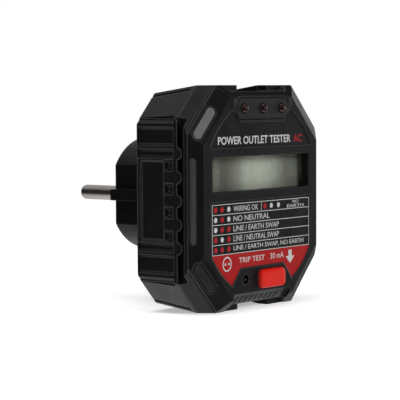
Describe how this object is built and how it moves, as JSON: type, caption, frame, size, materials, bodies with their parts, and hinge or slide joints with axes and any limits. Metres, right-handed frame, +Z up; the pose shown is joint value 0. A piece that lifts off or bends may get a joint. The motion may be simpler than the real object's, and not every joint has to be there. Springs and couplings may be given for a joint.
{
  "type": "plug-in socket tester",
  "caption": "Plug-in mains outlet tester: chamfered octagonal case, display window, indicator lamps, legend panel, red test button, side grips and a round-pin earth-clip plug.",
  "frame": {"origin": "midway between the two pins, on the end face of the plug body, which bottoms in the socket recess", "axes": "+X to the right as the user reads the display, +Z up, +Y into the wall along the pins"},
  "size_m": [0.068, 0.0689, 0.0706],
  "materials": {
    "case_black": "moulded ABS, fine satin grain, near-black",
    "grip_black": "moulded grip, dark matt rubber with fine grain",
    "insert_grey": "satin mid-grey plastic",
    "label_print": "printed film, dark field with white, red print",
    "clear_window": "clear moulded acrylic, polished",
    "lcd_glass": "grey-green reflective display glass",
    "lamp_plate_black": "semi-gloss black plastic",
    "lamp_red": "tinted dark red epoxy, polished, unlit",
    "button_red": "bright red plastic, satin",
    "brass_strip": "plain brass strip",
    "pin_nickel": "bright nickel plate",
    "clip_nickel": "bright nickel plate",
    "circuit_board": "green solder mask",
    "white_plastic": "natural white plastic",
    "contact_rubber": "layered conductive elastomer",
    "screw_steel": "zinc-plated steel",
    "component_black": "black moulding compound",
    "ceramic_body": "glazed ceramic",
    "capacitor_yellow": "yellow box film capacitor",
    "arrester_blue": "blue epoxy disc"
  },
  "bodies": {
    "case": {"backlight": "white_plastic", "board_link": "component_black", "capacitor": "capacitor_yellow", "case_screws": "screw_steel", "contact_strip_bottom": "contact_rubber", "contact_strip_top": "contact_rubber", "corner_insert_bottom_left": "insert_grey", "corner_insert_bottom_right": "insert_grey", "corner_insert_top_left": "insert_grey", "corner_insert_top_right": "insert_grey", "display_board": "circuit_board", "display_frame": "white_plastic", "display_window": "clear_window", "earth_bridge": "brass_strip", "earth_clip_bottom": "clip_nickel", "earth_clip_top": "clip_nickel", "front_cover": "case_black", "fuse": "ceramic_body", "label_lower": "label_print", "label_upper": "label_print", "lamp_left": "lamp_red", "lamp_middle": "lamp_red", "lamp_plate": "lamp_plate_black", "lamp_right": "lamp_red", "lcd_panel": "lcd_glass", "load_resistor_a": "ceramic_body", "load_resistor_b": "ceramic_body", "microcontroller": "component_black", "pin_left": "pin_nickel", "pin_right": "pin_nickel", "pin_strap_left": "brass_strip", "pin_strap_right": "brass_strip", "plug_body": "case_black", "plug_screws": "screw_steel", "power_board": "circuit_board", "rear_housing": "case_black", "side_grip_left": "grip_black", "side_grip_right": "grip_black", "side_strip_left": "insert_grey", "side_strip_right": "insert_grey", "sounder": "component_black", "surge_arrester": "arrester_blue", "switch_body": "component_black"},
    "button": {"test_button": "button_red"},
    "plunger": {"switch_plunger": "white_plastic"}
  },
  "joints": [
    {"name": "button_press", "type": "slide", "parent": "case", "child": "button", "axis": [0, 1, 0], "range_m": [0, 0.0008], "stiffness_N_per_m": 2500},
    {"name": "plunger_press", "type": "slide", "parent": "case", "child": "plunger", "axis": [0, 1, 0], "range_m": [0, 0.0008]}
  ],
  "couplings": [
    {"joint": "plunger_press", "follows": "button_press", "ratio": 1}
  ]
}
